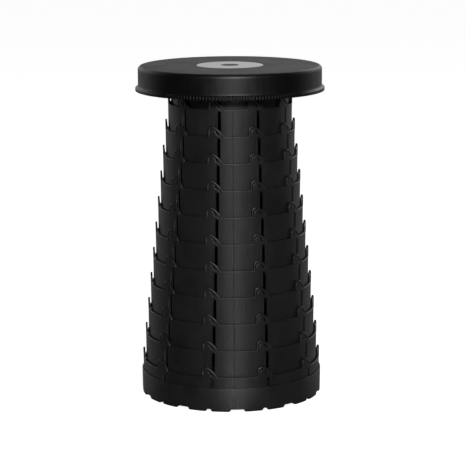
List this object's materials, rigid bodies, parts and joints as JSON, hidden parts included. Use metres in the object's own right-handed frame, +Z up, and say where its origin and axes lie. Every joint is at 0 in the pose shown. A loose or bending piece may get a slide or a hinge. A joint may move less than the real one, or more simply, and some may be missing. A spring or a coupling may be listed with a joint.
{
  "type": "collapsible telescopic stool",
  "caption": "Round telescopic camping stool: nested slotted rings with hooked lock tabs slide into the foot, and a lid-like seat closes over them.",
  "frame": {"origin": "on the floor, at the column's axis", "axes": "+Z up along the column's axis; the side that the picture shows faces -Y"},
  "size_m": [0.2564, 0.2558, 0.45],
  "materials": {
    "ring_plastic": "black moulded polypropylene, satin, with fine flow marks",
    "seat_plastic": "black moulded plastic with a fine grain on the sitting face",
    "badge_metal": "satin silver-grey disc with a darker plain centre",
    "screw_steel": "zinc-plated"
  },
  "bodies": {
    "base": {"base_band": "ring_plastic"},
    "ring_11": {"ring_11": "ring_plastic"},
    "ring_10": {"ring_10": "ring_plastic"},
    "ring_09": {"ring_09": "ring_plastic"},
    "ring_08": {"ring_08": "ring_plastic"},
    "ring_07": {"ring_07": "ring_plastic"},
    "ring_06": {"ring_06": "ring_plastic"},
    "ring_05": {"ring_05": "ring_plastic"},
    "ring_04": {"ring_04": "ring_plastic"},
    "ring_03": {"ring_03": "ring_plastic"},
    "ring_02": {"ring_02": "ring_plastic"},
    "ring_01": {"ring_01": "ring_plastic"},
    "seat": {"seat_collar": "ring_plastic", "seat_cover": "seat_plastic", "seat_badge": "badge_metal", "seat_screw_1": "screw_steel", "seat_screw_2": "screw_steel", "seat_screw_3": "screw_steel", "seat_screw_4": "screw_steel", "seat_screw_5": "screw_steel", "seat_screw_6": "screw_steel"}
  },
  "joints": [
    {"name": "lock_twist", "type": "hinge", "parent": "base", "child": "ring_11", "pos_m": [0, 0, 0], "axis": [0, 0, 1], "range_deg": [0, 53]},
    {"name": "ring_10_slide", "type": "slide", "parent": "ring_11", "child": "ring_10", "axis": [0, 0, 1], "range_m": [-0.0353, 0]},
    {"name": "ring_09_slide", "type": "slide", "parent": "ring_10", "child": "ring_09", "axis": [0, 0, 1], "range_m": [-0.0353, 0]},
    {"name": "ring_08_slide", "type": "slide", "parent": "ring_09", "child": "ring_08", "axis": [0, 0, 1], "range_m": [-0.0353, 0]},
    {"name": "ring_07_slide", "type": "slide", "parent": "ring_08", "child": "ring_07", "axis": [0, 0, 1], "range_m": [-0.0353, 0]},
    {"name": "ring_06_slide", "type": "slide", "parent": "ring_07", "child": "ring_06", "axis": [0, 0, 1], "range_m": [-0.0353, 0]},
    {"name": "ring_05_slide", "type": "slide", "parent": "ring_06", "child": "ring_05", "axis": [0, 0, 1], "range_m": [-0.0353, 0]},
    {"name": "ring_04_slide", "type": "slide", "parent": "ring_05", "child": "ring_04", "axis": [0, 0, 1], "range_m": [-0.0353, 0]},
    {"name": "ring_03_slide", "type": "slide", "parent": "ring_04", "child": "ring_03", "axis": [0, 0, 1], "range_m": [-0.0353, 0]},
    {"name": "ring_02_slide", "type": "slide", "parent": "ring_03", "child": "ring_02", "axis": [0, 0, 1], "range_m": [-0.0353, 0]},
    {"name": "ring_01_slide", "type": "slide", "parent": "ring_02", "child": "ring_01", "axis": [0, 0, 1], "range_m": [-0.0353, 0]},
    {"name": "seat_slide", "type": "slide", "parent": "ring_01", "child": "seat", "axis": [0, 0, 1], "range_m": [-0.0317, 0]}
  ]
}
